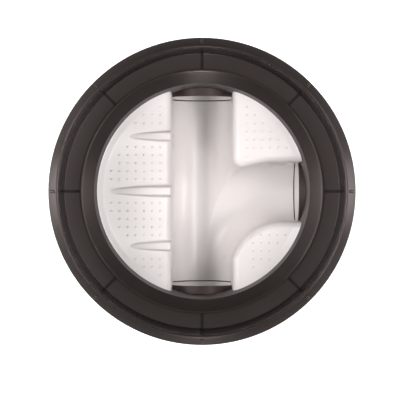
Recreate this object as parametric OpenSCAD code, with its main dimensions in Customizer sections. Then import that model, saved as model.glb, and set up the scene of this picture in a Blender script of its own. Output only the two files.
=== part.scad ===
// Base of a drain inspection chamber, in millimetres, +Z up.
// The origin is the centre of the underside, on the axis of the riser.
// A black moulded body carries a light channel and benching insert.
// The main channel runs along Y, in at +Y and out at -Y. The branch
// comes in at +X and sweeps down into the main channel.

/* [Riser socket] */
// Inner radius of the riser socket
socket_r = 342; // [338:1:345]
// Height of the flat seat that carries the riser
seat_z = 372; // [362:1:380]
// Height of the top of the rim
rim_z = 522; // [500:1:540]
// Outer radius of the sloping rim
rim_r = 372; // [366:1:376]
// Wall thickness of the body
wall_t = 6; // [5:0.5:7]

/* [Seat grooves] */
// Width of each of the eight grooves in the seat
groove_w = 5; // [3:0.5:8]
// Depth of the grooves below the seat
groove_d = 20; // [10:1:24]

/* [Pipes] */
// Height of the pipe axes above the underside
pipe_z = 150.5; // [146:0.5:156]
// Inner radius of the pipes and of the channel
flow_r = 75.5; // [73:0.5:76]
// Radius of the sockets that take the pipes
bore_r = 80.4; // [80.2:0.1:80.8]
// Distance from the riser axis to the inner end of the main pipe hoods
main_hood = 243; // [240:1:246]
// Distance from the riser axis to the inner end of the branch hood
branch_hood = 248; // [244:1:249]
// Distance from the riser axis to the pipe stop
stop_x = 270; // [268:1:274]
// Distance from the riser axis to the inner end of the seal pocket
pocket_x = 334; // [328:1:336]

/* [Benching] */
// Height of the benching at the edge of the channels
bench_z = 237; // [230:1:240]
// Rise of the benching per millimetre away from the channels
bench_slope = 0.217; // [0.12:0.001:0.22]
// Height of the insert's edge at the chamber wall
edge_z = 277; // [270:1:282]
// Radius of the rounded edge between benching and channel
round_r = 16; // [13:0.5:17]
// Wall thickness of the insert
shell_t = 4.5; // [3.5:0.5:5]
// Radius of the branch channel's bend, on its centre line
bend_r = 195; // [192:1:198]
// Sideways place of the centre of the branch channel's bend
bend_x = 190; // [187:1:191]

/* [Treads] */
// Height of the level top of the three ribs
rib_z = 271; // [266:1:274]
// Width of the top of a rib
rib_w = 13; // [10:1:16]
// Spacing of the ribs along the main channel
rib_gap = 140; // [135:1:145]
// Pitch of the anti-slip pips
pip_pitch = 20.5; // [20:0.1:21]
// Radius of a pip
pip_r = 2.4; // [2:0.1:3]

/* [Hidden] */
$fn = 96;

half_w = flow_r + 2;              // half width of a channel at its top edge
edge_x = half_w + round_r;        // where the rounded edge meets the benching
wall_z = bench_z - round_r;       // top of the straight channel wall
mark_a = atan2(17.2, rim_r - socket_r - 11.5);  // slope of the rim
ports = [[90, main_hood], [270, main_hood], [0, branch_hood]];
groove_n = 8;
rib_n = 32;
mouth_x = pocket_x + 18;          // mouth of the body's pipe socket
hood_i = 78.6;                    // inside of the hood, where the sleeve sits
hood_o = 84;                      // outside of the hood
black = [0.13, 0.125, 0.12];
light = [0.93, 0.92, 0.90];
rubber = [0.05, 0.05, 0.05];
capcol = [0.20, 0.20, 0.20];

// ---------------------------------------------------------------- body

// half section of the turned part of the body, radius and height
module body_section() {
    polygon([
        [0, 0], [292, 0], [292, 5], [290, 7], [265, 7],
        [270.5, 232], [273, 277], [277, 341.1], [300.95, 365.05],
        [302.5, seat_z - wall_t], [socket_r + wall_t, seat_z - wall_t],
        [socket_r + wall_t, rim_z - 16], [socket_r + 9.5, rim_z - 7],
        [rim_r - 4, rim_z - 22], [rim_r - 4, rim_z - 30],
        [rim_r, rim_z - 30], [rim_r, rim_z - 18],
        [socket_r + 11.5, rim_z - 0.8], [socket_r + 10, rim_z],
        [socket_r + 8, rim_z], [socket_r + 6.6, rim_z - 0.8],
        [socket_r + 4.6, rim_z - 5], [socket_r, rim_z - 16],
        [socket_r, seat_z + 4], [socket_r - 1.2, seat_z + 1.2],
        [socket_r - 4, seat_z],
        [303.6, seat_z], [302.4, seat_z + 2.2], [301.4, seat_z + 3],
        [299.2, seat_z + 3], [298, seat_z + 2.2], [296.6, seat_z - 1.4],
        [270, seat_z - 28], [266, 277], [263.5, 232], [258, 7], [0, 7]
    ]);
}

// one outer stiffening rib, from the foot to the underside of the rim
module outer_rib() {
    rotate([90, 0, 0]) translate([0, 0, -2.5]) linear_extrude(height = 5)
        polygon([
            [262, 3], [267, 232], [269.5, 277], [273.5, 342],
            [299.5, seat_z - 4], [socket_r + 3, seat_z - 4],
            [socket_r + 3, rim_z - 15], [socket_r + 9, rim_z - 5],
            [rim_r - 2, rim_z - 20.5], [rim_r - 2, rim_z - 28],
            [socket_r + 14, rim_z - 44], [socket_r + 14, seat_z - 2],
            [socket_r + 6, seat_z - 18], [294, 304], [287, 296], [287, 3]
        ]);
}

// the solid under one seat groove, later cut by the groove
module groove_box() {
    translate([301, -groove_w / 2 - 4.5, seat_z - groove_d - 6])
        cube([socket_r - 297, groove_w + 9, groove_d + 4]);
}

module groove_cut() {
    translate([304.5, -groove_w / 2, seat_z - groove_d])
        cube([socket_r - 304.5 - 0.5, groove_w, groove_d + 5]);
    translate([socket_r - 4, -groove_w / 2, seat_z - groove_d])
        cube([6, groove_w, rim_z - seat_z + groove_d - 22]);
}

// raised mark on the slope of the rim
module rim_mark() {
    translate([(socket_r + 11.5 + rim_r) / 2 - 1.5, 0, rim_z - 8])
        rotate([0, mark_a, 0]) translate([-7, 0, 0]) rotate([90, 0, 90])
            linear_extrude(height = 14)
                polygon([[-3.9, -2], [3.9, -2], [3.9, 0.2], [1.5, 2.7],
                         [-1.5, 2.7], [-3.9, 0.2]]);
}

// solid of revolution along the outward pipe axis, from a half section
// whose first value is the distance out and second the radius
module along_port(a) {
    rotate([0, 0, a]) translate([0, 0, pipe_z]) rotate([0, 90, 0])
        rotate_extrude() children();
}

module port_solid(hood) {
    polygon([
        [0, hood], [hood_o, hood], [hood_o, 262], [86.4, 268],
        [86.4, pocket_x - 10], [97, pocket_x - 3], [97, mouth_x - 4],
        [99, mouth_x - 4], [99, mouth_x - 1], [97.5, mouth_x], [0, mouth_x]
    ]);
}

module port_cut(hood) {
    polygon([
        [0, hood - 1], [hood_i, hood - 1], [hood_i, stop_x],
        [bore_r, stop_x], [bore_r, pocket_x], [91, pocket_x],
        [91, mouth_x + 1], [0, mouth_x + 1]
    ]);
}

// stiffening fins between a pipe socket and the chamber wall
module port_fins() {
    for (t = [30, 90, 150, 210, 330])
        translate([0, 0, pipe_z]) rotate([t, 0, 0])
            translate([0, -2.5, 0]) rotate([90, 0, 0])
                translate([0, 0, -5]) linear_extrude(height = 5)
                    polygon([[268, 84], [328, 84], [328, 88],
                             [290, 108], [268, 108]]);
}

module chamber_body() {
    color(black)
    difference() {
        union() {
            rotate_extrude() body_section();
            // ring rib round the chamber wall
            rotate_extrude() polygon([[268, 288], [292, 288], [292, 293],
                                      [269, 293]]);
            // ring rib round the riser socket
            rotate_extrude() polygon([[socket_r + 4, 436],
                [socket_r + 15, 436], [socket_r + 15, 441],
                [socket_r + 4, 441]]);
            for (i = [0 : rib_n - 1])
                rotate([0, 0, (i + 0.5) * 360 / rib_n]) outer_rib();
            for (i = [0 : groove_n - 1])
                rotate([0, 0, i * 360 / groove_n]) {
                    groove_box();
                    rim_mark();
                }
            for (p = ports) {
                along_port(p[0]) port_solid(p[1]);
                rotate([0, 0, p[0]]) port_fins();
            }
        }
        for (p = ports) along_port(p[0]) port_cut(p[1]);
        for (i = [0 : groove_n - 1])
            rotate([0, 0, i * 360 / groove_n]) groove_cut();
    }
}

// -------------------------------------------------------------- insert

// cross section of the open channel, with its rounded top edges
module channel_section() {
    translate([0, pipe_z]) circle(r = flow_r);
    polygon([[-flow_r, pipe_z], [flow_r, pipe_z],
             [half_w, wall_z], [-half_w, wall_z]]);
    difference() {
        translate([-edge_x, wall_z - 0.01]) square([2 * edge_x, 100]);
        for (s = [-1, 1])
            translate([s * edge_x, wall_z]) circle(r = round_r);
    }
}

// cross section of the channel's outer skin
module skin_section() {
    translate([0, pipe_z]) circle(r = flow_r + shell_t);
    polygon([[-flow_r - shell_t, pipe_z], [flow_r + shell_t, pipe_z],
             [half_w + shell_t, wall_z + 6], [-half_w - shell_t, wall_z + 6]]);
    // under the rounded edges
    for (s = [-1, 1])
        polygon([[s * (half_w + 1), bench_z - 1], [s * (half_w + 1), wall_z + 1],
                 [s * (half_w + shell_t), wall_z + 1],
                 [s * (edge_x - 1), bench_z - 4],
                 [s * (edge_x - 1), bench_z - 1]]);
}

// the three stretches that a channel section is swept along
module sweep_main(l) {
    rotate([90, 0, 0]) translate([0, 0, -l]) linear_extrude(height = 2 * l)
        children();
}

module sweep_branch(l) {
    rotate([90, 0, 90]) translate([0, 0, bend_x])
        linear_extrude(height = l - bend_x) children();
    translate([bend_x, -bend_r, 0]) rotate([0, 0, 90])
        rotate_extrude(angle = 77) translate([bend_r, 0]) children();
}

// rounded corner between the two channels, upstream of the branch
corner_r = 26;
corner_d = corner_r - 0.4;
corner_x = half_w + corner_d;
corner_y = sqrt(pow(bend_r + half_w + corner_d, 2)
                - pow(bend_x - corner_x, 2)) - bend_r;
corner_a = atan2(corner_y + bend_r, corner_x - bend_x) + 180;

module corner_cut() {
    translate([corner_x, corner_y, 0]) rotate([0, 0, 160])
        rotate_extrude(angle = corner_a - 140) {
            difference() {
                translate([corner_r - round_r, wall_z])
                    square([round_r + 30, 100]);
                translate([corner_r - round_r, wall_z])
                    circle(r = round_r);
            }
            translate([corner_r, pipe_z + 14])
                square([30, wall_z - pipe_z]);
        }
}

// the insert's skin behind and below that corner
module corner_skin() {
    translate([corner_x, corner_y, 0]) rotate([0, 0, 170])
        rotate_extrude(angle = corner_a - 160)
            polygon([[corner_r - round_r + 1.4, bench_z - 1.7],
                     [corner_r - round_r + 1.4, bench_z - 4.3],
                     [corner_r - shell_t, wall_z + 0.6],
                     [corner_r - shell_t, pipe_z + 9.5],
                     [corner_r + 24, pipe_z + 9.5],
                     [corner_r + 24, wall_z + 6],
                     [corner_r + 1, bench_z - 1.7]]);
}

// everything below the benching, lowered by d
module bench_mass(d) {
    top = bench_z - d;
    far = edge_x + 200;
    rise = bench_slope * (far - edge_x);
    in_d = bend_r - edge_x;
    intersection() {
        // fall towards the main channel
        rotate([90, 0, 0]) translate([0, 0, -far])
            linear_extrude(height = 2 * far)
                polygon([[-far, 100], [far, 100], [far, top + rise],
                         [edge_x, top], [-edge_x, top],
                         [-far, top + rise]]);
        // fall towards the branch channel
        union() {
            translate([-far, -far, 90]) cube([far, 2 * far, 250]);
            translate([-1, -far, 90])
                cube([bend_x + 1, far - bend_r, 250]);
            rotate([90, 0, 90]) translate([0, 0, bend_x])
                linear_extrude(height = far - bend_x)
                    polygon([[-far, 90], [far, 90], [far, top + rise],
                             [edge_x, top], [-edge_x, top],
                             [-bend_r, top + bench_slope * in_d],
                             [-far, top + bench_slope * in_d]]);
            translate([bend_x, -bend_r, 0]) rotate([0, 0, 90])
                rotate_extrude(angle = 90)
                    polygon([[0, 90], [bend_r + far + 60, 90],
                             [bend_r + far + 60, top + rise
                              + 60 * bench_slope],
                             [bend_r + edge_x, top], [in_d, top],
                             [0, top + bench_slope * in_d]]);
        }
        rotate_extrude() polygon([[0, 95], [259.6, 95], [263, 232],
                                  [265.5, 277], [265.5, 330], [0, 330]]);
    }
}

// height of the benching at a point
function bend_d(x, y) =
    x > bend_x ? abs(y)
  : y < -bend_r ? 1000
  : abs(sqrt(pow(x - bend_x, 2) + pow(y + bend_r, 2)) - bend_r);
function bench_h(x, y) = bench_z + bench_slope
    * max(0, (x < 0 ? -x : min(x, bend_d(x, y))) - edge_x);

// a level tread rib with drafted sides, running out from the channel
module tread_rib(y) {
    far_x = sqrt(pow(229, 2) - y * y);
    translate([-far_x, y, 0]) rotate([90, 0, 90])
        linear_extrude(height = far_x - half_w)
            polygon([[-rib_w / 2, rib_z], [rib_w / 2, rib_z],
                     [rib_w / 2 + 5.6, rib_z - 40],
                     [-rib_w / 2 - 5.6, rib_z - 40]]);
}

module pip(x, y) {
    translate([x, y, bench_h(x, y) - 3])
        cylinder(r = pip_r, h = 4.4, $fn = 20);
}

module pips() {
    // left benching, between and beyond the three ribs
    for (i = [0 : 6], j = [1.5 : 1 : 5.5], s = [-1, 1]) {
        x = -106.5 - i * pip_pitch;
        y = s * (j - 0.03) * pip_pitch;
        if (x * x + y * y < 245 * 245) pip(x, y);
    }
    for (i = [0 : 4], j = [8.4 : 1 : 10.5], s = [-1, 1]) {
        x = -106.5 - i * pip_pitch;
        y = s * j * pip_pitch;
        if (x * x + y * y < 245 * 245) pip(x, y);
    }
    // right benching, upstream of the branch
    for (i = [0 : 5], j = [0 : 6]) {
        gx = 113 + i * pip_pitch * 0.985;
        y = 90 + j * pip_pitch;
        d = bend_d(gx, y) - gx;
        // a pip on the crease between the two slopes stands just beside it
        x = abs(d) < 4.7 ? gx - (4.7 - d) / 1.17 : gx;
        if (x * x + y * y < 244 * 244 && (j > 0 || i == 0)) pip(x, y);
    }
    // right benching, downstream of the branch
    for (i = [0 : 4], j = [0 : 4]) {
        x = 129 + i * pip_pitch;
        y = -112 - j * pip_pitch;
        if (x * x + y * y < 244 * 244
            && pow(x - bend_x, 2) + pow(y + bend_r, 2)
               < pow(bend_r - edge_x - 2, 2))
            pip(x, y);
    }
}

// the three ribs, from the channel's edge out to the rise at the wall
module tread_ribs() {
    for (i = [-1 : 1]) intersection() {
        tread_rib(i * rib_gap);
        rotate([90, 0, 0]) translate([0, 0, -280])
            linear_extrude(height = 560)
                polygon([[-300, bench_z - 4], [-half_w - 4.5, bench_z - 4],
                         [-half_w - 3, wall_z + 3], [-half_w - 0.8, wall_z + 3],
                         [-half_w - 0.8, 320], [-300, 320]]);
    }
}

module channel_insert() {
    color(light)
    union() {
        tread_ribs();
        insert_shell();
    }
}

module insert_shell() {
    difference() {
        union() {
            difference() {
                bench_mass(0);
                bench_mass(5);
            }
            // upstand against the chamber wall
            rotate_extrude() polygon([[232, 236],
                [267, edge_z + 1.5 * (edge_z - 236) / 33.5],
                [267, edge_z - 6], [266, 237], [235, 229]]);
            sweep_main(262) skin_section();
            intersection() {
                sweep_branch(262) skin_section();
                translate([-60, -400, 0]) cube([400, 700, 400]);
            }
            corner_skin();
            pips();
        }
        sweep_main(300) channel_section();
        sweep_branch(300) channel_section();
        corner_cut();
        // ends at the wall and round the pipe hoods
        difference() {
            translate([0, 0, 40]) cylinder(r = 420, h = 300);
            translate([0, 0, 39]) rotate_extrude()
                polygon([[0, 0], [258.6, 0], [263, 193], [265.5, 238],
                         [265.5, 302], [0, 302]]);
        }
        for (p = ports) {
            along_port(p[0]) polygon([[0, p[1] - 0.8], [hood_o + 0.6, p[1] - 0.8],
                                      [hood_o + 0.6, 300], [0, 300]]);
            rotate([0, 0, p[0]])
                translate([p[1] - 7.2, -flow_r - 6, 40])
                    cube([60, 2 * flow_r + 12, pipe_z + 0.5 - 40]);
        }
    }
}

// ------------------------------------------------------------- sleeves

// light liner between the insert's channel and the pipe
module sleeve(a, hood) {
    color(light)
    union() {
        along_port(a) polygon([[flow_r, hood + 3], [hood_i - 0.1, hood + 3],
                               [hood_i - 0.1, stop_x], [flow_r, stop_x]]);
        intersection() {
            along_port(a) polygon([[flow_r, hood - 4.4],
                [hood_i - 0.1, hood - 4.4], [hood_i - 0.1, hood + 6],
                [flow_r, hood + 6]]);
            rotate([0, 0, a]) translate([hood - 10, -100, 40])
                cube([40, 200, pipe_z - 40]);
        }
    }
}

// --------------------------------------------------------------- seals

// lip seal in its pocket, drawn as pressed flat by a pipe
module seal(a) {
    color(rubber)
    along_port(a) polygon([
        [bore_r + 0.3, pocket_x + 8], [bore_r + 0.3, pocket_x + 12],
        [84.5, pocket_x + 17.6], [90.8, pocket_x + 17.6],
        [90.8, pocket_x + 0.4], [86.5, pocket_x + 0.4],
        [86.5, pocket_x + 10], [84.6, pocket_x + 9],
        [82.4, pocket_x + 2], [bore_r + 0.3, pocket_x + 2]]);
}

// snap ring over the mouth of the socket, which keeps the seal in
module seal_cap(a) {
    color(capcol)
    along_port(a) polygon([
        [82, mouth_x + 0.2], [99.4, mouth_x + 0.2], [99.4, mouth_x - 4.4],
        [97.4, mouth_x - 4.4], [97.4, mouth_x - 8], [102, mouth_x - 8],
        [102, mouth_x + 3], [99, mouth_x + 6], [84, mouth_x + 6],
        [82, mouth_x + 4]]);
}

module inlet_sleeve() { sleeve(90, main_hood); }
module outlet_sleeve() { sleeve(270, main_hood); }
module branch_sleeve() { sleeve(0, branch_hood); }
module inlet_seal() { seal(90); }
module outlet_seal() { seal(270); }
module branch_seal() { seal(0); }
module inlet_seal_cap() { seal_cap(90); }
module outlet_seal_cap() { seal_cap(270); }
module branch_seal_cap() { seal_cap(0); }

chamber_body();
channel_insert();
inlet_sleeve();
outlet_sleeve();
branch_sleeve();
inlet_seal();
outlet_seal();
branch_seal();
inlet_seal_cap();
outlet_seal_cap();
branch_seal_cap();
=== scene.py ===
import bpy
import math
import numpy as np
from mathutils import Matrix, Vector


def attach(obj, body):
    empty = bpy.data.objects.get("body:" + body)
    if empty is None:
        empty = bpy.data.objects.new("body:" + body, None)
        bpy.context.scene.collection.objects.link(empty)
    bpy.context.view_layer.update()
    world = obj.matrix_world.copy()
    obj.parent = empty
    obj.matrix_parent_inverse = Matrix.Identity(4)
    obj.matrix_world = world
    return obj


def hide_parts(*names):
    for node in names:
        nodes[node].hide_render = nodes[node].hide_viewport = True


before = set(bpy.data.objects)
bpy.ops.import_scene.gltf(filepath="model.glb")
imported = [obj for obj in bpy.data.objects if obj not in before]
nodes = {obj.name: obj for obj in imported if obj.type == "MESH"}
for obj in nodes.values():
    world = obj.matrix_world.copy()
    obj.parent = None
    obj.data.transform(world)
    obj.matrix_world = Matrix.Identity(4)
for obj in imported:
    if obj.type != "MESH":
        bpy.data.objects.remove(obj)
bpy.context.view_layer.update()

scene = bpy.context.scene
MM = 0.001

# ------------------------------------------------------------------ studio


def aim(obj, target):
    d = Vector(target) - Vector(obj.location)
    obj.rotation_mode = "QUATERNION"
    obj.rotation_quaternion = d.to_track_quat("-Z", "Y")


cam_data = bpy.data.cameras.new("camera")
cam = bpy.data.objects.new("camera", cam_data)
scene.collection.objects.link(cam)
cam_data.sensor_width = 36.0
cam_data.lens = 175.6
cam_data.clip_start = 0.1
cam_data.clip_end = 60.0
cam.location = (0.0, 0.018, 5.222)
cam.rotation_euler = (-0.00818, 0.001017, 0.0)
scene.camera = cam


def softbox(name, az, el, size, power, colour=(1, 1, 1), dist=3.4):
    """Round softbox facing the chamber from a bearing and a height angle."""
    d = bpy.data.lights.new(name, "AREA")
    d.shape = "DISK"
    d.size = size
    d.energy = power
    d.color = colour
    o = bpy.data.objects.new(name, d)
    scene.collection.objects.link(o)
    a, e = math.radians(az), math.radians(el)
    o.location = (dist * math.cos(a) * math.cos(e), dist * math.sin(a) * math.cos(e),
                  0.35 + dist * math.sin(e))
    aim(o, (0, 0, 0.35))
    return o


WARM = (1.0, 0.975, 0.975)
softbox("right_back", 25, 54, 0.95, 35, WARM)
softbox("right_front", -25, 54, 0.95, 43, WARM)
softbox("right_mid", 0, 58, 0.9, 12, WARM)
softbox("right_low", 0, 14, 1.5, 52, WARM)
softbox("left_back", 155, 45, 0.95, 42, WARM)
softbox("left_front", -155, 49, 0.95, 31, WARM)
softbox("left_mid", 180, 53, 0.9, 25, WARM)
softbox("left_low", 180, 16, 1.5, 54, WARM)
softbox("front", -90, 52, 1.2, 11, WARM)
softbox("overhead", 0, 88, 1.2, 7, WARM)

# snooted fill on the far side of the riser seat
fill = bpy.data.lights.new("seat_fill", "SPOT")
fill.energy = 180
fill.color = WARM
fill.spot_size = math.radians(9.0)
fill.spot_blend = 0.5
fill.shadow_soft_size = 0.25
fo = bpy.data.objects.new("seat_fill", fill)
scene.collection.objects.link(fo)
fo.location = (0.0, -3.0, 1.95)
aim(fo, (0.0, 0.32, 0.38))

world = bpy.data.worlds.new("studio")
scene.world = world
world.use_nodes = True
bg = world.node_tree.nodes["Background"]
bg.inputs["Color"].default_value = (1.0, 1.0, 1.0, 1.0)
bg.inputs["Strength"].default_value = 0.06
seen = world.node_tree.nodes.new("ShaderNodeBackground")
seen.inputs["Color"].default_value = (1.0, 1.0, 1.0, 1.0)
seen.inputs["Strength"].default_value = 1.0
rays = world.node_tree.nodes.new("ShaderNodeLightPath")
pick = world.node_tree.nodes.new("ShaderNodeMixShader")
world.node_tree.links.new(rays.outputs["Is Camera Ray"], pick.inputs["Fac"])
world.node_tree.links.new(bg.outputs["Background"], pick.inputs[1])
world.node_tree.links.new(seen.outputs["Background"], pick.inputs[2])
world.node_tree.links.new(pick.outputs["Shader"], world.node_tree.nodes["World Output"].inputs["Surface"])
scene.view_settings.view_transform = "Standard"
scene.view_settings.look = "None"

# ------------------------------------------------------------------ floor


def new_material(name):
    m = bpy.data.materials.new(name)
    m.use_nodes = True
    nt = m.node_tree
    nt.nodes.clear()
    out = nt.nodes.new("ShaderNodeOutputMaterial")
    bsdf = nt.nodes.new("ShaderNodeBsdfPrincipled")
    nt.links.new(bsdf.outputs["BSDF"], out.inputs["Surface"])
    return m, nt, bsdf


m_floor, nt, bsdf = new_material("floor_paper")
bsdf.inputs["Base Color"].default_value = (0.8, 0.8, 0.8, 1)
bsdf.inputs["Roughness"].default_value = 0.9
bsdf.inputs["Emission Color"].default_value = (1, 1, 1, 1)
lp = nt.nodes.new("ShaderNodeLightPath")
glow = nt.nodes.new("ShaderNodeMapRange")
glow.inputs["To Min"].default_value = 0.12
glow.inputs["To Max"].default_value = 0.75
nt.links.new(lp.outputs["Is Camera Ray"], glow.inputs["Value"])
nt.links.new(glow.outputs["Result"], bsdf.inputs["Emission Strength"])

fl = bpy.data.meshes.new("floor")
fl.from_pydata([(-9, -9, -0.001), (9, -9, -0.001), (9, 9, -0.001), (-9, 9, -0.001)], [], [(0, 1, 2, 3)])
floor = bpy.data.objects.new("floor", fl)
scene.collection.objects.link(floor)
floor.data.materials.append(m_floor)

# --------------------------------------------------------------- materials


def noise(nt, scale, detail=4.0, rough=0.55, coord=None):
    n = nt.nodes.new("ShaderNodeTexNoise")
    n.inputs["Scale"].default_value = scale
    n.inputs["Detail"].default_value = detail
    n.inputs["Roughness"].default_value = rough
    if coord is not None:
        nt.links.new(coord, n.inputs["Vector"])
    return n


def ramp(nt, src, stops):
    r = nt.nodes.new("ShaderNodeValToRGB")
    while len(r.color_ramp.elements) < len(stops):
        r.color_ramp.elements.new(0.5)
    for e, (pos, col) in zip(r.color_ramp.elements, stops):
        e.position = pos
        e.color = (*col, 1) if len(col) == 3 else col
    nt.links.new(src, r.inputs["Fac"])
    return r


def plastic(name, dark, lite, rough_lo, rough_hi, bump=0.02, turned_marks=0.0, tint=(1, 1, 1)):
    m, nt, bsdf = new_material(name)
    bsdf.inputs["Specular Tint"].default_value = (*tint, 1)
    if turned_marks:
        tan = nt.nodes.new("ShaderNodeTangent")
        tan.direction_type = "RADIAL"
        tan.axis = "Z"
        nt.links.new(tan.outputs["Tangent"], bsdf.inputs["Tangent"])
        bsdf.inputs["Anisotropic"].default_value = turned_marks
        bsdf.inputs["Anisotropic Rotation"].default_value = 0.25
    tc = nt.nodes.new("ShaderNodeTexCoord")
    big = noise(nt, 6.0, 5.0, 0.55, tc.outputs["Object"])
    r = ramp(nt, big.outputs["Fac"], [(0.3, dark), (0.7, lite)])
    nt.links.new(r.outputs["Color"], bsdf.inputs["Base Color"])
    rr = ramp(nt, big.outputs["Fac"], [(0.3, (rough_lo,) * 3), (0.7, (rough_hi,) * 3)])
    nt.links.new(rr.outputs["Color"], bsdf.inputs["Roughness"])
    fine = noise(nt, 900.0, 2.0, 0.5, tc.outputs["Object"])
    b = nt.nodes.new("ShaderNodeBump")
    b.inputs["Strength"].default_value = bump
    b.inputs["Distance"].default_value = 0.0005
    nt.links.new(fine.outputs["Fac"], b.inputs["Height"])
    nt.links.new(b.outputs["Normal"], bsdf.inputs["Normal"])
    return m


m_black = plastic("black_pp", (0.0130, 0.0098, 0.0086), (0.0160, 0.0122, 0.0108), 0.33, 0.40, 0.03, 0.7, (1.0, 0.86, 0.85))
m_light = plastic("light_pp", (0.752, 0.719, 0.707), (0.762, 0.729, 0.717), 0.27, 0.30, 0.05)
light_bsdf = [n for n in m_light.node_tree.nodes if n.type == "BSDF_PRINCIPLED"][0]
light_bsdf.inputs["Specular IOR Level"].default_value = 0.4


def vary_finish_and_paint_light(m):
    """The socket's upright wall is smoother than the rest and painted near-black as painted shade, and
    the hoods are duller and painted lighter as a painted sheen.
    """
    nt = m.node_tree
    bsdf = [n for n in nt.nodes if n.type == "BSDF_PRINCIPLED"][0]
    tc = nt.nodes.new("ShaderNodeTexCoord")
    sep = nt.nodes.new("ShaderNodeSeparateXYZ")
    nt.links.new(tc.outputs["Object"], sep.inputs["Vector"])

    def calc(op, a, b):
        n = nt.nodes.new("ShaderNodeMath")
        n.operation = op
        for i, v in enumerate((a, b)):
            if isinstance(v, float):
                n.inputs[i].default_value = v
            else:
                nt.links.new(v, n.inputs[i])
        return n.outputs["Value"]

    def step(v, lo, hi):
        n = nt.nodes.new("ShaderNodeMapRange")
        n.interpolation_type = "SMOOTHSTEP"
        n.inputs["From Min"].default_value = lo
        n.inputs["From Max"].default_value = hi
        nt.links.new(v, n.inputs["Value"])
        return n.outputs["Result"]

    r = calc("POWER", calc("ADD", calc("POWER", sep.outputs["X"], 2.0),
                           calc("POWER", sep.outputs["Y"], 2.0)), 0.5)
    inside = calc("SUBTRACT", step(r, 0.3395, 0.3415), step(r, 0.3466, 0.3482))
    wall = calc("MULTIPLY", inside, step(sep.outputs["Z"], 0.373, 0.376))
    hood = calc("SUBTRACT", 1.0, step(r, 0.262, 0.264))
    # the wall's near-black colour is painted shade standing in for the shade on the socket's upright
    # wall; its low roughness is a real finish
    for on, colour, rough in ((wall, (0.004, 0.0031, 0.0028, 1), 0.2),
                              # the hoods' lighter brown-black colour is a painted sheen standing in for
                              # the side light they reflect; their higher roughness is a real finish
                              (hood, (0.046, 0.035, 0.032, 1), 0.55)):
        for name, value in (("Base Color", colour), ("Roughness", (rough, rough, rough, 1))):
            src = bsdf.inputs[name].links[0].from_socket
            mix = nt.nodes.new("ShaderNodeMix")
            mix.data_type = "RGBA"
            nt.links.new(on, mix.inputs[0])
            nt.links.new(src, mix.inputs[6])
            mix.inputs[7].default_value = value
            nt.links.new(mix.outputs[2], bsdf.inputs[name])
    grain = [n for n in nt.nodes if n.type == "BUMP"][0].inputs["Height"]
    nt.links.new(calc("MULTIPLY", grain.links[0].from_socket, calc("SUBTRACT", 1.0, wall)), grain)


vary_finish_and_paint_light(m_black)
m_rubber = plastic("seal_rubber", (0.012, 0.012, 0.012), (0.02, 0.02, 0.02), 0.55, 0.65, 0.1)
m_cap = plastic("cap_pp", (0.022, 0.022, 0.022), (0.03, 0.03, 0.03), 0.38, 0.46, 0.12)


def dress(obj, mat):
    if not obj.data.materials:
        obj.data.materials.append(mat)
    for i in range(len(obj.data.materials)):
        obj.data.materials[i] = mat


# ---------------------------------------------------------- mesh helpers


def add_object(name, mesh):
    o = bpy.data.objects.new(name, mesh)
    scene.collection.objects.link(o)
    return o


def mesh_from(name, verts, faces, scale=MM):
    me = bpy.data.meshes.new(name)
    me.from_pydata([tuple(c * scale for c in v) for v in verts], [], faces)
    me.update()
    return me


def fillet(points, segs=4):
    """Round the corners of a closed polygon of (x, y, radius)."""
    out = []
    n = len(points)
    for i in range(n):
        p1 = np.array(points[i][:2], float)
        r = points[i][2] if len(points[i]) > 2 else 0.0
        if r <= 0:
            out.append(tuple(p1))
            continue
        p0 = np.array(points[i - 1][:2], float)
        p2 = np.array(points[(i + 1) % n][:2], float)
        a, b = p0 - p1, p2 - p1
        la, lb = np.hypot(*a), np.hypot(*b)
        a, b = a / la, b / lb
        cosv = float(np.clip(a @ b, -1, 1))
        half = math.acos(cosv) / 2
        if half > math.pi / 2 - 0.02:
            out.append(tuple(p1))
            continue
        t = min(r / math.tan(half), 0.48 * la, 0.48 * lb)
        r = t * math.tan(half)
        s, e = p1 + a * t, p1 + b * t
        c = p1 + (a + b) / np.hypot(*(a + b)) * (r / math.sin(half))
        a0 = math.atan2(*(s - c)[::-1])
        a1 = math.atan2(*(e - c)[::-1])
        d = (a1 - a0 + math.pi) % (2 * math.pi) - math.pi
        k = max(2, int(math.ceil(segs * abs(d) / (math.pi / 2))))
        for j in range(k + 1):
            w = a0 + d * j / k
            out.append((c[0] + r * math.cos(w), c[1] + r * math.sin(w)))
    return out


def turned(section, seg, frame_m=None):
    """Solid of revolution about Z from a closed (radius, height) outline."""
    verts, rings = [], []
    for (r, z) in section:
        if abs(r) < 1e-9:
            rings.append([len(verts)])
            verts.append((0.0, 0.0, z))
        else:
            rings.append(list(range(len(verts), len(verts) + seg)))
            for k in range(seg):
                a = 2 * math.pi * k / seg
                verts.append((r * math.cos(a), r * math.sin(a), z))
    area2 = sum(section[i - 1][0] * section[i][1] - section[i][0] * section[i - 1][1]
                for i in range(len(section)))
    faces = []
    n = len(section)
    for i in range(n):
        A, B = rings[i], rings[(i + 1) % n]
        if len(A) == 1 and len(B) == 1:
            continue
        for k in range(seg):
            k2 = (k + 1) % seg
            if len(A) == 1:
                f = [A[0], B[k2], B[k]]
            elif len(B) == 1:
                f = [A[k], A[k2], B[0]]
            else:
                f = [A[k], A[k2], B[k2], B[k]]
            if area2 < 0:
                f = f[::-1]
            faces.append(f)
    if frame_m is not None:
        verts = [tuple(frame_m @ Vector(v)) for v in verts]
    return verts, faces


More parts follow.
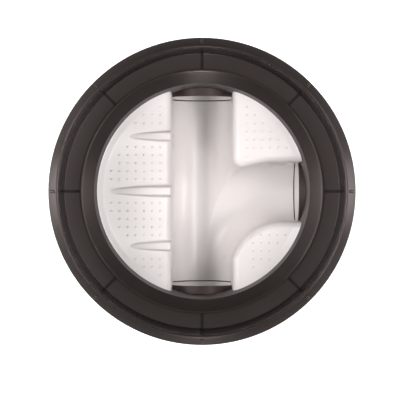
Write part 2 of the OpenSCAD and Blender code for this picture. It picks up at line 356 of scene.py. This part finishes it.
def prism(outline, y0, y1):
    """Extrude an (x, z) outline along Y."""
    n = len(outline)
    verts = [(x, y0, z) for x, z in outline] + [(x, y1, z) for x, z in outline]
    area2 = sum(outline[i - 1][0] * outline[i][1] - outline[i][0] * outline[i - 1][1]
                for i in range(n))
    faces = [list(range(n)), list(range(2 * n - 1, n - 1, -1))]
    faces += [[i, i + n, (i + 1) % n + n, (i + 1) % n] for i in range(n)]
    if area2 < 0:
        faces = [f[::-1] for f in faces]
    return verts, faces


def placed(vf, m):
    return [tuple(m @ Vector(v)) for v in vf[0]], vf[1]


def joined(parts):
    verts, faces = [], []
    for v, f in parts:
        k = len(verts)
        verts += v
        faces += [[i + k for i in g] for g in f]
    return verts, faces


def rot_z(deg):
    return Matrix.Rotation(math.radians(deg), 4, "Z")


def port_frame(deg):
    """Frame whose Z runs outward along a port's axis."""
    return rot_z(deg) @ Matrix.Translation((0, 0, 150.5)) @ Matrix.Rotation(math.radians(90), 4, "Y")


def bevelled(name, vf, width, segs=2, angle=30):
    o = add_object(name, mesh_from(name, *vf))
    m = o.modifiers.new("bevel", "BEVEL")
    m.width = width * MM
    m.segments = segs
    m.limit_method = "ANGLE"
    m.angle_limit = math.radians(angle)
    bake(o)
    return o


def bake(o):
    dg = bpy.context.evaluated_depsgraph_get()
    me = bpy.data.meshes.new_from_object(o.evaluated_get(dg))
    o.modifiers.clear()
    old = o.data
    o.data = me
    bpy.data.meshes.remove(old)


def combine(o, cutter, op):
    m = o.modifiers.new("b", "BOOLEAN")
    m.operation = op
    m.solver = "MANIFOLD"
    m.object = cutter
    bake(o)
    old = cutter.data
    bpy.data.objects.remove(cutter)
    bpy.data.meshes.remove(old)


def smooth(o, deg=32):
    me = o.data
    me.polygons.foreach_set("use_smooth", [True] * len(me.polygons))
    me.set_sharp_from_angle(angle=math.radians(deg))


def tris(o):
    return sum(len(p.vertices) - 2 for p in o.data.polygons)


# --------------------------------------------------------- channel insert

PZ, FLOW, HALF = 150.5, 75.5, 77.5
WALL_Z, BENCH_Z, ROUND = 221.0, 237.0, 16.0
OUT_C, OUT_R = (186.0, -165.0), 238.8
IN_C, IN_R = (209.5, -217.0), 139.5
RIM_Z = 277.0
HOODS = [(90, 243.0), (270, 243.0), (0, 248.0)]


def smoothstep(x, a, b):
    t = np.clip((x - a) / (b - a), 0, 1)
    return t * t * (3 - 2 * t)


def smin(a, b, k):
    h = np.clip(k - np.abs(a - b), 0, None) / k
    return np.minimum(a, b) - h * h * k * 0.25


def round_and(a, b, r):
    """Common part of two solids, with the edge between them rounded."""
    return np.minimum(-r, np.maximum(a, b)) + np.sqrt(
        np.maximum(a + r, 0) ** 2 + np.maximum(b + r, 0) ** 2)


def round_or(a, b, r):
    """Two solids together, with a fillet between them."""
    return np.maximum(r, np.minimum(a, b)) - np.sqrt(
        np.maximum(r - a, 0) ** 2 + np.maximum(r - b, 0) ** 2)


def channel(u, z):
    """Depth inside the open channel, and its gradient along u and z."""
    au = np.abs(u)
    dz = z - PZ
    rho = np.sqrt(u * u + dz * dz) + 1e-9
    slope = (HALF - FLOW) / (WALL_Z - PZ)
    c = 1 / math.sqrt(1 + slope * slope)
    low = dz < 0
    d = np.where(low, rho - FLOW, (au - FLOW - dz * slope) * c)
    gu = np.where(low, u / rho, np.sign(u) * c)
    gz = np.where(low, dz / rho, -slope * c)
    return -d, -gu, -gz


def wall_gap(x, y, c, r, side):
    """Distance to one wall of the branch, positive inside the channel."""
    rho = np.sqrt((x - c[0]) ** 2 + (y - c[1]) ** 2)
    along = np.where(x >= c[0], y - c[1], np.where(y < c[1], c[0] - x, rho))
    return side * (r - along)


def branch_coords(x, y):
    """Sideways place across the branch, and its direction in plan."""
    d_out = wall_gap(x, y, OUT_C, OUT_R, 1)
    d_in = wall_gap(x, y, IN_C, IN_R, -1)
    width = np.clip(d_out + d_in, 90.0, None)
    u = (d_in - d_out) * HALF / width
    cx, cy = 196.0, -186.0
    rho = np.sqrt((x - cx) ** 2 + (y - cy) ** 2) + 1e-9
    straight = x >= cx
    below = (y < cy) & ~straight
    ex = np.where(straight, 0.0, np.where(below, -1.0, (x - cx) / rho))
    ey = np.where(straight, 1.0, np.where(below, 0.0, (y - cy) / rho))
    return u, ex, ey


def bench_height(x, y):
    u, _, _ = branch_coords(x, y)
    d_right = smin(np.abs(x), np.abs(u), 60.0)
    w = smoothstep(x, -20.0, 20.0)
    d = (1 - w) * np.abs(x) + w * d_right
    h = BENCH_Z + 0.21 * (d - HALF - ROUND)
    r = np.sqrt(x * x + y * y)
    cove = RIM_Z - 0.34 * (265.5 - r)
    h = -smin(-h, -cove, 12.0)
    return h + 3.0 * smoothstep(r, 247.0, 266.5)


RIBS = [(-140.0, -180.0), (0.0, -233.0), (140.0, -180.0)]


def insert_top(x, y, z):
    """Signed distance-like value above the insert's upper surface."""
    a, ax, az = channel(x, z)
    u, ex, ey = branch_coords(x, y)
    b, bu, bz = channel(u, z)
    dot = ax * bu * ex + az * bz
    turn = np.clip(1.25 * (1 - dot), 0, 1)
    r_c = (5 + 35 * smoothstep(z, 105, 205)) * turn + 0.01
    ch = round_and(a, b, r_c)
    bench = (z - bench_height(x, y)) * 0.975
    top = round_and(ch, bench, ROUND)
    for yc, tip in RIBS:
        t = np.clip((x - tip) / 100.0, 0.0, 1.0)
        level = bench_height(x, np.full_like(x, yc)) + 0.25 * np.clip(x - tip, 0, None)
        level = smin(level, 269.5, 6.0)
        side = (np.abs(y - yc) - 12.0 * t ** 0.22 + 2.0 - (level - z) * 0.13) * 0.9
        rib = round_and(side, (z - level) * 0.95, 4.0)
        rib = round_and(rib, x + HALF + 0.6 + (z - BENCH_Z) * 0.04, 3.5)
        rib = np.maximum(rib, (tip - x) * 0.5)
        top = round_or(top, rib, 3.0)
    return top


def insert_shell(x, y, z):
    t = insert_top(x, y, z)
    r = np.sqrt(x * x + y * y)
    return np.maximum(np.maximum(t, -t - 4.8), r - 270.0)


def gradient(f, p, h=0.05):
    g = np.empty_like(p)
    for i in range(3):
        q0, q1 = p.copy(), p.copy()
        q0[:, i] -= h
        q1[:, i] += h
        g[:, i] = (f(q1[:, 0], q1[:, 1], q1[:, 2]) - f(q0[:, 0], q0[:, 1], q0[:, 2])) / (2 * h)
    return g


def surface_nets(f, lo, hi, step):
    """Quads along the zero level of f on a regular grid."""
    xs = np.arange(lo[0], hi[0] + step, step)
    ys = np.arange(lo[1], hi[1] + step, step)
    zs = np.arange(lo[2], hi[2] + step, step)
    X, Y = np.meshgrid(xs, ys, indexing="ij")
    v = np.empty((len(xs), len(ys), len(zs)), np.float32)
    for k, z in enumerate(zs):
        v[:, :, k] = f(X, Y, np.full_like(X, z))
    s = v < 0
    c = np.zeros(tuple(n - 1 for n in v.shape), np.int8)
    for i in (0, 1):
        for j in (0, 1):
            for k in (0, 1):
                c += s[i:s.shape[0] - 1 + i, j:s.shape[1] - 1 + j, k:s.shape[2] - 1 + k]
    mixed = (c > 0) & (c < 8)
    idx = np.argwhere(mixed)
    ids = np.full(mixed.shape, -1, np.int32)
    ids[mixed] = np.arange(len(idx))
    acc = np.zeros((len(idx), 3))
    cnt = np.zeros(len(idx))
    for axis in range(3):
        o1, o2 = [a for a in range(3) if a != axis]
        for p in (0, 1):
            for q in (0, 1):
                off = np.zeros(3, int)
                off[o1], off[o2] = p, q
                e0 = idx + off
                e1 = e0.copy()
                e1[:, axis] += 1
                v0 = v[e0[:, 0], e0[:, 1], e0[:, 2]]
                v1 = v[e1[:, 0], e1[:, 1], e1[:, 2]]
                hit = (v0 < 0) != (v1 < 0)
                t = v0[hit] / (v0[hit] - v1[hit])
                pt = e0[hit].astype(float)
                pt[:, axis] += t
                acc[hit] += pt
                cnt[hit] += 1
    verts = acc / cnt[:, None] * step + np.array([xs[0], ys[0], zs[0]])
    quads = []
    for axis in range(3):
        o1, o2 = [(1, 2), (2, 0), (0, 1)][axis]
        sl0 = [slice(None)] * 3
        sl1 = [slice(None)] * 3
        sl0[axis] = slice(0, -1)
        sl1[axis] = slice(1, None)
        s0, s1 = s[tuple(sl0)], s[tuple(sl1)]
        for flip, cond in ((False, s0 & ~s1), (True, ~s0 & s1)):
            e = np.argwhere(cond)
            e = e[(e[:, o1] > 0) & (e[:, o2] > 0)
                  & (e[:, o1] < mixed.shape[o1]) & (e[:, o2] < mixed.shape[o2])]
            q = []
            for d1, d2 in ((-1, -1), (0, -1), (0, 0), (-1, 0)):
                c2 = e.copy()
                c2[:, o1] += d1
                c2[:, o2] += d2
                q.append(ids[c2[:, 0], c2[:, 1], c2[:, 2]])
            q = np.stack(q, 1)
            if flip:
                q = q[:, ::-1]
            quads.append(q)
    return verts, np.concatenate(quads)


def pip_places():
    out = []
    pitch = 20.5
    for i in range(7):
        for j in (1.5, 2.5, 3.5, 4.5, 5.5):
            for s in (-1, 1):
                out.append((-106.5 - i * pitch, s * (j - 0.03) * pitch, 236))
    for i in range(5):
        for j in (8.4, 9.4, 10.4):
            for s in (-1, 1):
                out.append((-106.5 - i * pitch, s * j * pitch, 245))
    for i in range(6):
        for j in range(7):
            if j > 0 or i == 0:
                out.append((113.0 + i * pitch * 0.985, 90 + j * pitch, 244))
    for i in range(5):
        for j in range(5):
            x, y = 129 + i * pitch, -112 - j * pitch
            if (x - IN_C[0]) ** 2 + (y - IN_C[1]) ** 2 < 122 ** 2:
                out.append((x, y, 244))
    return [(x, y) for x, y, lim in out if x * x + y * y < lim * lim]


def pip_mesh():
    """Small rounded studs standing on the benching."""
    prof = [(3.4, -1.2), (3.1, 0.3), (2.7, 1.3), (2.0, 1.9), (1.0, 2.15)]
    seg = 14
    parts = []
    for x, y in pip_places():
        z = float(bench_height(np.array([x]), np.array([y]))[0])
        g = []
        for h in ((1.0, 0.0), (0.0, 1.0)):
            zx = float(bench_height(np.array([x + h[0]]), np.array([y + h[1]]))[0])
            g.append(zx - z)
        v, f = [], []
        for r, hz in prof:
            for k in range(seg):
                a = 2 * math.pi * k / seg
                px, py = r * math.cos(a), r * math.sin(a)
                v.append((x + px, y + py, z + hz + g[0] * px + g[1] * py))
        v.append((x, y, z + 2.2))
        for i in range(len(prof) - 1):
            for k in range(seg):
                k2 = (k + 1) % seg
                f.append([i * seg + k, i * seg + k2, (i + 1) * seg + k2, (i + 1) * seg + k])
        t = (len(prof) - 1) * seg
        for k in range(seg):
            f.append([t + k, t + (k + 1) % seg, len(v) - 1])
        f.append(list(range(seg))[::-1])
        parts.append((v, f))
    return joined(parts)


def cylinder(r, z0, z1, seg, m=None):
    return turned([(0, z0), (r, z0), (r, z1), (0, z1)], seg, m)


def box(x0, x1, y0, y1, z0, z1):
    return prism([(x0, z0), (x1, z0), (x1, z1), (x0, z1)], y0, y1)


def build_insert():
    step = 2.6
    verts, quads = surface_nets(insert_shell, (-272.3, -272.3, 66.1), (272.3, 272.3, 290.1), step)
    p = verts.copy()
    for _ in range(3):
        val = insert_shell(p[:, 0], p[:, 1], p[:, 2])
        g = gradient(insert_shell, p)
        gg = np.maximum((g * g).sum(1), 0.25)
        p -= g * (val / gg)[:, None]
    d = p - verts
    far = np.sqrt((d * d).sum(1))
    p = verts + d * np.minimum(1, 0.9 * step / np.maximum(far, 1e-9))[:, None]
    me = bpy.data.meshes.new("channel_insert_fine")
    me.from_pydata((p * MM).tolist(), [], quads.tolist())
    me.update()
    o = add_object("channel_insert_fine", me)
    # ends at the wall and round the pipe hoods
    ring = [(258.5, 40), (263.5, 232.1), (265.5, 277), (267, 300), (330, 300), (330, 40)]
    cut = add_object("cut", mesh_from("cut", *turned(ring, 256)))
    combine(o, cut, "DIFFERENCE")
    cuts = []
    for deg, hood in HOODS:
        cuts.append(cylinder(84.6, hood - 0.8, 300, 128, port_frame(deg)))
    cut = add_object("cut", mesh_from("cut", *joined(cuts)))
    combine(o, cut, "DIFFERENCE")
    cuts = [placed(box(hood - 7.2, 300, -81.5, 81.5, 40, 151), rot_z(deg)) for deg, hood in HOODS]
    cut = add_object("cut", mesh_from("cut", *joined(cuts)))
    combine(o, cut, "DIFFERENCE")
    # shading follows the true surface, and stays crisp at the cut ends
    me = o.data
    me.polygons.foreach_set("use_smooth", [True] * len(me.polygons))
    nv, nl = len(me.vertices), len(me.loops)
    co = np.empty(nv * 3)
    me.vertices.foreach_get("co", co)
    co = co.reshape(-1, 3) / MM
    val = insert_top(co[:, 0], co[:, 1], co[:, 2])
    g = gradient(insert_top, co, 0.3)
    g /= np.maximum(np.sqrt((g * g).sum(1)), 1e-9)[:, None]
    g[val < -2.4] *= -1
    lv = np.empty(nl, np.int32)
    me.loops.foreach_get("vertex_index", lv)
    starts = np.empty(len(me.polygons), np.int32)
    totals = np.empty(len(me.polygons), np.int32)
    me.polygons.foreach_get("loop_start", starts)
    me.polygons.foreach_get("loop_total", totals)
    fn = np.empty(len(me.polygons) * 3)
    me.polygons.foreach_get("normal", fn)
    fn = np.repeat(fn.reshape(-1, 3), totals, axis=0)
    ln = g[lv]
    off = (ln * fn).sum(1) < 0.72
    ln[off] = fn[off]
    me.normals_split_custom_set(ln.tolist())
    pips = add_object("pips", mesh_from("pips", *pip_mesh()))
    smooth(pips, 50)
    return o, pips


# ------------------------------------------------------------------ body

def body_outline():
    """Half section of the turned part, radius and height, with fillets."""
    pts = [
        (0, 0, 0), (292, 0, 2), (292, 5.5, 1), (290.5, 7, 0.8), (265.2, 7, 3),
        (270.5, 232, 0), (272.6, 270, 0), (273.7, 288, 1.5), (291.4, 288.4, 1.4),
        (291.4, 292.6, 1.4), (273.9, 293, 1.5), (277, 341.1, 6), (300.95, 365.05, 1.2),
        (302.5, 366, 1), (348, 366, 5), (348, 436, 1.5), (356.4, 436.4, 1.3),
        (356.4, 440.6, 1.3), (348, 441, 1.5), (348, 506, 3), (351.5, 515, 2),
        (368, 500, 2), (368, 492, 1.2), (371.9, 492, 1.3), (371.9, 504, 3.0),
        (353.5, 521.2, 1.2), (352, 522, 0.8), (349.5, 522, 1.2), (347, 519.5, 1.5),
        (342.6, 440, 0), (342, 430, 0), (342, 372, 1.6), (305, 372, 2), (302.2, 372.65, 1.5), (299.4, 372.75, 1.5), (296.6, 370.6, 1.2), (270, 344, 2.2),
        (266, 277, 0), (263.5, 232, 0), (258, 7, 3), (0, 7, 0)]
    return fillet(pts, 5)


def groove_tool():
    """Cutter for one seat groove that runs on up the socket wall."""
    return prism([(304.5, 352), (344.0, 352), (344.0, 497), (342.6, 499),
                  (341.3, 499), (341.3, 377), (304.5, 377)], -3.5, 3.5)


def build_body():
    seg = 320
    o = add_object("chamber_body_fine", mesh_from("chamber_body_fine", *turned(body_outline(), seg)))
    # outer stiffening ribs
    rib = [(262, 3), (267, 232), (269.5, 277), (273.5, 342), (299.5, 368), (345, 368),
           (345, 507), (351, 517), (370, 501.5), (370, 494), (356, 478),
           (356, 370), (348, 354), (294, 304), (287, 296), (287, 3)]
    rib = fillet([(x, z, 4 if x in (356, 348, 294, 287) and z > 3 else 0) for x, z in rib], 3)
    parts = [placed(prism(rib, -2.5, 2.5), rot_z((i + 0.5) * 11.25)) for i in range(32)]
    combine(o, bevelled("ribs", joined(parts), 0.8, 2), "UNION")
    # groove housings under the seat, and raised marks on the rim's slope
    parts, marks = [], []
    for i in range(8):
        m = rot_z(i * 45)
        parts.append(placed(box(301, 347, -7, 7, 346, 368), m))
        tilt = Matrix.Translation((361.2, 0, 514.0)) @ Matrix.Rotation(math.radians(42.9), 4, "Y")
        lie = Matrix.Rotation(math.radians(90), 4, "Z")
        mark = prism([(-3.9, -2), (3.9, -2), (3.9, 0.2), (1.5, 2.7), (-1.5, 2.7), (-3.9, 0.2)], -7, 7)
        marks.append(placed(mark, m @ tilt @ lie))
    combine(o, bevelled("housings", joined(parts), 1.0, 2), "UNION")
    combine(o, bevelled("marks", joined(marks), 0.4, 2), "UNION")
    # pipe sockets with their hoods, and the fins between them and the wall
    parts, cuts, fins = [], [], []
    for deg, hood in HOODS:
        m = port_frame(deg)
        out = fillet([(0, hood, 0), (84, hood, 1.6), (84, 262, 3), (86.4, 268, 3),
                      (86.4, 324, 4), (97, 331, 4), (97, 348, 0.6), (99, 348, 0.6),
                      (99, 351, 0.8), (97.5, 352, 0.5), (0, 352, 0)], 3)
        parts.append(turned(out, 144, m))
        cut = fillet([(0, hood - 1, 0), (78.6, hood - 1, 0), (78.6, 270, 0), (80.4, 270, 0),
                      (80.4, 334, 1), (91, 334, 1.5), (91, 353, 0), (0, 353, 0)], 3)
        cuts.append(turned(cut, 144, m))
        for t in (30, 90, 150, 210, 330):
            fin = prism(fillet([(268, 84, 0), (328, 84, 0), (328, 88, 1), (290, 108, 4),
                                (268, 108, 0)], 3), -2.5, 2.5)
            fins.append(placed(fin, rot_z(deg) @ Matrix.Translation((0, 0, 150.5))
                               @ Matrix.Rotation(math.radians(t), 4, "X")))
    tool = add_object("ports", mesh_from("ports", *joined(parts)))
    combine(o, tool, "UNION")
    combine(o, bevelled("fins", joined(fins), 0.8, 2), "UNION")
    for i in range(8):
        cuts.append(placed(groove_tool(), rot_z(i * 45)))
    tool = add_object("cuts", mesh_from("cuts", *joined(cuts)))
    combine(o, tool, "DIFFERENCE")
    smooth(o, 30)
    return o


def build_turned(name, outline, deg, mat, replaced):
    o = add_object(name, mesh_from(name, *turned(outline, 160, port_frame(deg))))
    smooth(o, 30)
    dress(o, mat)
    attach(o, "root")
    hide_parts(replaced)
    return o


insert, pips = build_insert()
print("triangles: insert", tris(insert), "pips", tris(pips))
dress(insert, m_light)
dress(pips, m_light)
for o in (insert, pips):
    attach(o, "root")
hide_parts("channel_insert")
body = build_body()
print("triangles: body", tris(body))
dress(body, m_black)
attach(body, "root")
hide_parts("chamber_body")

PX, MX = 334.0, 352.0
for deg, part in ((90, "inlet"), (270, "outlet"), (0, "branch")):
    ring = fillet([(80.7, PX + 8, 0.5), (80.7, PX + 12, 0.5), (84.5, PX + 17.6, 0.8),
                   (90.8, PX + 17.6, 0.6), (90.8, PX + 0.4, 0.6), (86.5, PX + 0.4, 0.6),
                   (86.5, PX + 10, 0.8), (84.6, PX + 9, 0.8), (82.4, PX + 2, 0.3),
                   (80.7, PX + 2, 0.3)], 3)
    build_turned(part + "_seal_fine", ring, deg, m_rubber, part + "_seal")
    ring = fillet([(82, MX + 0.2, 0.3), (99.4, MX + 0.2, 0), (99.4, MX - 4.4, 0.3),
                   (97.4, MX - 4.4, 0.3), (97.4, MX - 8, 0.5), (102, MX - 8, 1.2),
                   (102, MX + 3, 2.2), (99, MX + 6, 2.2), (84, MX + 6, 1.5),
                   (82, MX + 4, 1.2)], 4)
    build_turned(part + "_cap_fine", ring, deg, m_cap, part + "_seal_cap")

for n, o in nodes.items():
    if n.endswith("sleeve"):
        dress(o, m_light)
